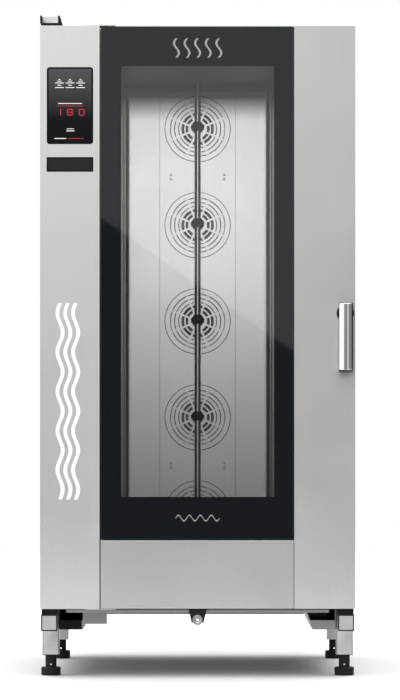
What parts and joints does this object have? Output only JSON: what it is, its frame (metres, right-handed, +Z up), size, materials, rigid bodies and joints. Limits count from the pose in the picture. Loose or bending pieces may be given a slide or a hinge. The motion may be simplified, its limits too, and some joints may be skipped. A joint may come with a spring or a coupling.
{
  "type": "combi steamer oven",
  "caption": "Tall roll-in combi steamer oven with a glazed side-hinged door, a control column on the left, stacked fans behind slotted guards and a low frame on adjustable feet.",
  "frame": {"origin": "on the floor, under the middle of the bounding box", "axes": "+Z up, front of the oven towards -Y, +X to the right for a person facing the door"},
  "size_m": [0.896, 1.027, 1.875],
  "materials": {
    "casing_steel": "fine brushed stainless steel",
    "door_steel": "plain pressed stainless steel",
    "chamber_steel": "bright rolled stainless steel",
    "panel_steel": "bright rolled stainless steel",
    "guard_steel": "punched stainless steel",
    "fan_steel": "welded stainless steel",
    "heater_steel": "heat-darkened steel tube",
    "spray_steel": "drawn stainless tube",
    "motor_paint": "satin black paint",
    "insulation_wool": "mineral wool blanket",
    "door_glass": "clear toughened glass with a dark printed border",
    "inner_glass": "clear toughened glass",
    "display_black": "black touch glass, gloss",
    "port_black": "gloss black",
    "housing_plastic": "moulded plastic",
    "board_green": "coated circuit board",
    "seal_rubber": "black silicone rubber",
    "lamp_lens": "opal lens",
    "duct_steel": "folded stainless steel",
    "bush_bronze": "sintered bronze",
    "handle_chrome": "polished",
    "boss_black": "satin black coating",
    "frame_steel": "welded square tube",
    "pad_plastic": "moulded blocks",
    "foot_steel": "turned steel",
    "drip_steel": "folded sheet",
    "guide_black": "black coated sheet",
    "guide_steel": "folded sheet",
    "dock_metal": "black coated plate",
    "dock_bush_steel": "turned steel",
    "inlet_brass": "machined brass",
    "drain_steel": "stainless pipe",
    "gland_plastic": "black nylon"
  },
  "bodies": {
    "root": {"left_side_panel": "casing_steel", "right_side_panel": "casing_steel", "rear_panel": "casing_steel", "roof_panel": "casing_steel", "base_pan": "casing_steel", "control_fascia": "casing_steel", "front_frame": "casing_steel", "latch_keeper": "door_steel", "hinge_plates": "door_steel", "chamber_left_wall": "chamber_steel", "chamber_right_wall": "chamber_steel", "chamber_rear_wall": "chamber_steel", "chamber_ceiling": "chamber_steel", "chamber_floor": "chamber_steel", "fan_panel": "panel_steel", "left_air_baffle": "panel_steel", "right_air_baffle": "panel_steel", "panel_screws": "panel_steel", "fan_guards": "guard_steel", "ring_heaters": "heater_steel", "spray_tube": "spray_steel", "spray_nozzles": "spray_steel", "fan_motors": "motor_paint", "insulation_jacket": "insulation_wool", "display_glass": "display_black", "display_housing": "housing_plastic", "port_socket": "housing_plastic", "control_board": "board_green", "chimney_seal": "seal_rubber", "chimney_pipe": "duct_steel", "under_frame": "frame_steel", "frame_pads": "pad_plastic", "drip_channel": "drip_steel", "left_trolley_guide": "guide_black", "right_trolley_guide": "guide_steel", "dock_bracket": "dock_metal", "dock_bush": "dock_bush_steel", "water_inlets": "inlet_brass", "drain_pipe": "drain_steel", "cable_gland": "gland_plastic"},
    "door": {"door_frame": "door_steel", "door_outer_glass": "door_glass", "door_inner_glass": "inner_glass", "door_right_skin": "casing_steel", "door_lower_skin": "casing_steel", "door_gasket": "seal_rubber", "door_lamps": "lamp_lens", "hinge_bushes": "bush_bronze"},
    "handle": {"handle_lever": "handle_chrome", "handle_spindle": "boss_black"},
    "port_flap": {"port_flap": "port_black"},
    "fan_1": {"fan_impeller_1": "fan_steel"},
    "fan_2": {"fan_impeller_2": "fan_steel"},
    "fan_3": {"fan_impeller_3": "fan_steel"},
    "fan_4": {"fan_impeller_4": "fan_steel"},
    "fan_5": {"fan_impeller_5": "fan_steel"},
    "foot_front_left": {"foot_front_left": "foot_steel"},
    "foot_front_right": {"foot_front_right": "foot_steel"},
    "foot_rear_left": {"foot_rear_left": "foot_steel"},
    "foot_rear_right": {"foot_rear_right": "foot_steel"}
  },
  "joints": [
    {"name": "door_hinge", "type": "hinge", "parent": "root", "child": "door", "pos_m": [-0.2505, -0.4405, 1], "axis": [0, 0, -1], "range_deg": [0, 120]},
    {"name": "handle_turn", "type": "hinge", "parent": "door", "child": "handle", "pos_m": [0.4177, -0.4515, 1.032], "axis": [0, 1, 0], "range_deg": [0, 90]},
    {"name": "port_flap_hinge", "type": "hinge", "parent": "root", "child": "port_flap", "pos_m": [-0.361, -0.4465, 1.467], "axis": [-1, 0, 0], "range_deg": [0, 90]},
    {"name": "fan_spin_1", "type": "hinge", "parent": "root", "child": "fan_1", "pos_m": [0, 0.34, 1.6245], "axis": [0, 1, 0], "continuous": true},
    {"name": "fan_spin_2", "type": "hinge", "parent": "root", "child": "fan_2", "pos_m": [0, 0.34, 1.3295], "axis": [0, 1, 0], "continuous": true},
    {"name": "fan_spin_3", "type": "hinge", "parent": "root", "child": "fan_3", "pos_m": [0, 0.34, 1.0345], "axis": [0, 1, 0], "continuous": true},
    {"name": "fan_spin_4", "type": "hinge", "parent": "root", "child": "fan_4", "pos_m": [0, 0.34, 0.7395], "axis": [0, 1, 0], "continuous": true},
    {"name": "fan_spin_5", "type": "hinge", "parent": "root", "child": "fan_5", "pos_m": [0, 0.34, 0.4445], "axis": [0, 1, 0], "continuous": true},
    {"name": "foot_front_left_adjust", "type": "slide", "parent": "root", "child": "foot_front_left", "axis": [0, 0, -1], "range_m": [0, 0.025]},
    {"name": "foot_front_right_adjust", "type": "slide", "parent": "root", "child": "foot_front_right", "axis": [0, 0, -1], "range_m": [0, 0.025]},
    {"name": "foot_rear_left_adjust", "type": "slide", "parent": "root", "child": "foot_rear_left", "axis": [0, 0, -1], "range_m": [0, 0.025]},
    {"name": "foot_rear_right_adjust", "type": "slide", "parent": "root", "child": "foot_rear_right", "axis": [0, 0, -1], "range_m": [0, 0.025]}
  ]
}
